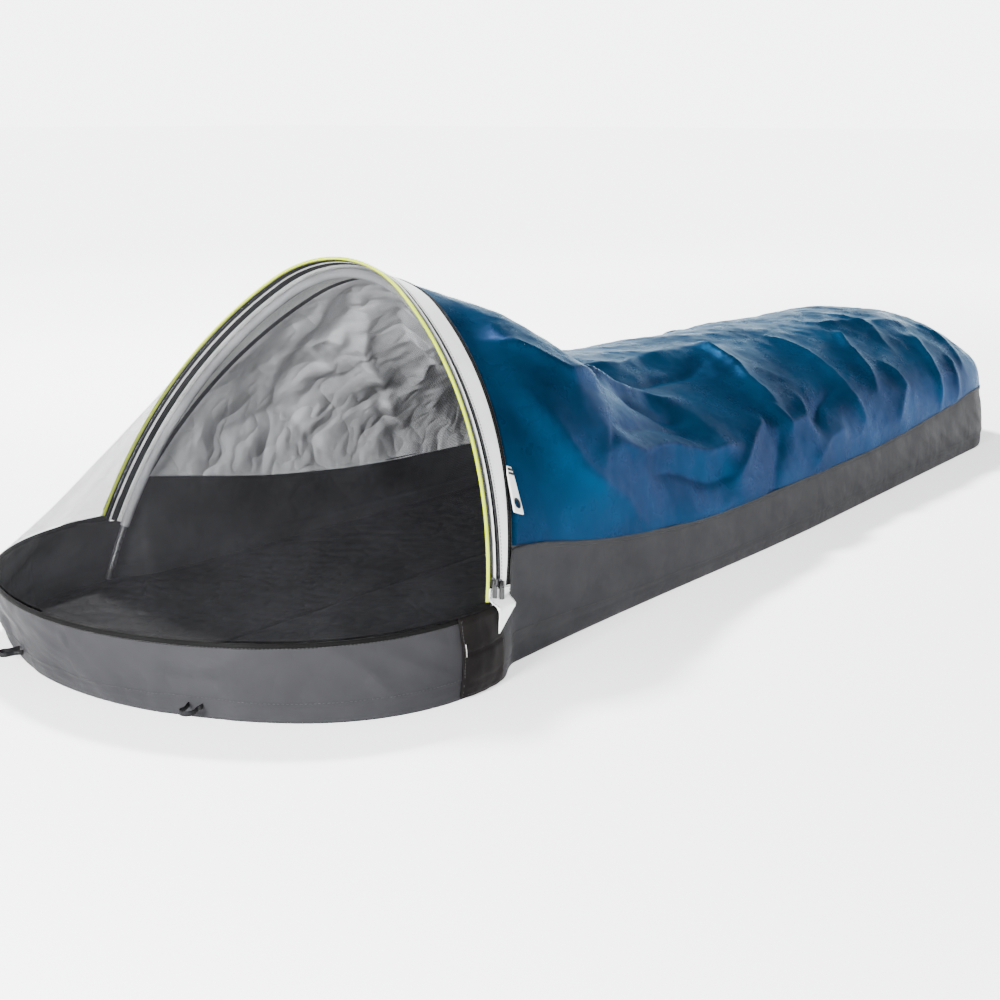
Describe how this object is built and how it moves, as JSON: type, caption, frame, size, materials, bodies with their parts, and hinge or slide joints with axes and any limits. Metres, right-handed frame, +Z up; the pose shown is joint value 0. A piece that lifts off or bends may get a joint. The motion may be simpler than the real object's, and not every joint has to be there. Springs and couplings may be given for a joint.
{
  "type": "bivy sack",
  "caption": "One-person bivy sack with a single hoop, bathtub floor, glossy laminate top, zipped netting door at the head end, guy tabs and stake loops.",
  "frame": {"origin": "on the ground under the middle of the sack's box", "axes": "+Y from the head end to the foot end, +X to the right side seen from the head end looking to the foot, +Z up"},
  "size_m": [0.6844, 2.143, 0.453],
  "materials": {
    "floor_fabric": "coated ripstop nylon, satin",
    "top_laminate": "glossy waterproof laminate, silver inside",
    "netting": "fine insect netting, see-through",
    "accent_piping": "woven piping",
    "pale_laminate": "smooth coated cloth",
    "pale_webbing": "woven webbing",
    "black_binding": "grosgrain binding",
    "seam_thread": "taped and felled seam",
    "zipper_tape": "knitted tape",
    "zipper_coil": "coil teeth",
    "pole_plastic": "extruded plastic rod, satin",
    "ferrule_metal": "drawn tube",
    "tip_plastic": "moulded",
    "elastic_cord": "braided",
    "pocket_cloth": "heavy coated cloth",
    "black_webbing": "woven webbing",
    "slider_metal": "black lacquered die-cast metal",
    "pull_plastic": "moulded soft plastic"
  },
  "bodies": {
    "sack": {"floor_panel": "floor_fabric", "head_wall": "floor_fabric", "foot_wall": "floor_fabric", "side_wall_left": "floor_fabric", "side_wall_right": "floor_fabric", "side_seam_left": "seam_thread", "side_seam_right": "seam_thread", "foot_seam": "seam_thread", "rim_binding": "black_binding", "top_shell": "top_laminate", "storm_flap": "pale_laminate", "rear_binding": "black_binding", "hood_piping": "pale_laminate", "hood_zip_tape": "zipper_tape", "storm_zip_tape": "zipper_tape", "hood_zip_coil": "zipper_coil", "storm_zip_coil": "zipper_coil", "zip_garage_left": "black_binding", "zip_garage_right": "black_binding", "pole_leg_left": "pole_plastic", "pole_leg_right": "pole_plastic", "pole_crown": "pole_plastic", "pole_ferrule_left": "ferrule_metal", "pole_ferrule_right": "ferrule_metal", "pole_shock_cord": "elastic_cord", "pole_sleeve": "black_binding", "pole_tip_left": "tip_plastic", "pole_tip_right": "tip_plastic", "pole_pocket_left": "pocket_cloth", "pole_pocket_right": "pocket_cloth"},
    "door": {"mesh_door": "netting", "door_piping": "accent_piping", "door_zip_tape": "zipper_tape", "door_zip_coil": "zipper_coil"},
    "mesh_slider_right_body": {"mesh_slider_right": "slider_metal"},
    "mesh_pull_right_body": {"mesh_pull_right": "pull_plastic"},
    "mesh_slider_left_body": {"mesh_slider_left": "slider_metal"},
    "mesh_pull_left_body": {"mesh_pull_left": "pull_plastic"},
    "storm_slider_right_body": {"storm_slider_right": "slider_metal"},
    "storm_pull_right_body": {"storm_pull_right": "pull_plastic"},
    "storm_slider_left_body": {"storm_slider_left": "slider_metal"},
    "storm_pull_left_body": {"storm_pull_left": "pull_plastic"},
    "guy_tab_right_body": {"guy_tab_right": "pale_webbing"},
    "guy_tab_left_body": {"guy_tab_left": "pale_webbing"},
    "stake_loop_head_right_body": {"stake_loop_head_right": "black_webbing"},
    "stake_loop_head_left_body": {"stake_loop_head_left": "black_webbing"},
    "stake_loop_foot_right_body": {"stake_loop_foot_right": "black_webbing"},
    "stake_loop_foot_left_body": {"stake_loop_foot_left": "black_webbing"}
  },
  "joints": [
    {"name": "door_open", "type": "hinge", "parent": "sack", "child": "door", "pos_m": [0, -1.0745, 0.097], "axis": [1, 0, 0], "range_deg": [0, 125]},
    {"name": "mesh_slider_right_travel", "type": "hinge", "parent": "sack", "child": "mesh_slider_right_body", "pos_m": [-0.20447, -0.7835, 0], "axis": [0, -0.9421, 0.3355], "range_deg": [0, 40]},
    {"name": "mesh_pull_right_swing", "type": "hinge", "parent": "mesh_slider_right_body", "child": "mesh_pull_right_body", "pos_m": [0.33163, -0.73392, 0.11687], "axis": [0, -0.9421, 0.3355], "range_deg": [0, 160]},
    {"name": "mesh_slider_left_travel", "type": "hinge", "parent": "sack", "child": "mesh_slider_left_body", "pos_m": [0.20447, -0.7835, 0], "axis": [0, 0.9421, -0.3355], "range_deg": [0, 40]},
    {"name": "mesh_pull_left_swing", "type": "hinge", "parent": "mesh_slider_left_body", "child": "mesh_pull_left_body", "pos_m": [-0.33163, -0.73392, 0.11687], "axis": [0, 0.9421, -0.3355], "range_deg": [0, 160]},
    {"name": "storm_slider_right_travel", "type": "hinge", "parent": "sack", "child": "storm_slider_right_body", "pos_m": [-0.20447, -0.7835, 0], "axis": [0, -0.9421, 0.3355], "range_deg": [0, 40]},
    {"name": "storm_pull_right_swing", "type": "hinge", "parent": "storm_slider_right_body", "child": "storm_pull_right_body", "pos_m": [0.33163, -0.72074, 0.11217], "axis": [0, -0.9421, 0.3355], "range_deg": [0, 160]},
    {"name": "storm_slider_left_travel", "type": "hinge", "parent": "sack", "child": "storm_slider_left_body", "pos_m": [0.20447, -0.7835, 0], "axis": [0, 0.9421, -0.3355], "range_deg": [0, 40]},
    {"name": "storm_pull_left_swing", "type": "hinge", "parent": "storm_slider_left_body", "child": "storm_pull_left_body", "pos_m": [-0.33163, -0.72074, 0.11217], "axis": [0, 0.9421, -0.3355], "range_deg": [0, 160]},
    {"name": "guy_tab_right_swing", "type": "hinge", "parent": "sack", "child": "guy_tab_right_body", "pos_m": [0.27806, -0.63832, 0.22641], "axis": [0, -0.9421, 0.3355], "range_deg": [0, 100]},
    {"name": "guy_tab_left_swing", "type": "hinge", "parent": "sack", "child": "guy_tab_left_body", "pos_m": [-0.27806, -0.63832, 0.22641], "axis": [0, 0.9421, -0.3355], "range_deg": [0, 100]},
    {"name": "stake_loop_head_right_flap", "type": "hinge", "parent": "sack", "child": "stake_loop_head_right_body", "pos_m": [0.15107, -1.0244, 0.015], "axis": [-0.9342, -0.3566, 0], "range_deg": [-20, 60]},
    {"name": "stake_loop_head_left_flap", "type": "hinge", "parent": "sack", "child": "stake_loop_head_left_body", "pos_m": [-0.15107, -1.0244, 0.015], "axis": [-0.9342, 0.3566, 0], "range_deg": [-20, 60]},
    {"name": "stake_loop_foot_right_flap", "type": "hinge", "parent": "sack", "child": "stake_loop_foot_right_body", "pos_m": [0.13627, 1.04428, 0.015], "axis": [0.9062, -0.4228, 0], "range_deg": [-20, 60]},
    {"name": "stake_loop_foot_left_flap", "type": "hinge", "parent": "sack", "child": "stake_loop_foot_left_body", "pos_m": [-0.13627, 1.04428, 0.015], "axis": [0.9062, 0.4228, 0], "range_deg": [-20, 60]}
  ]
}
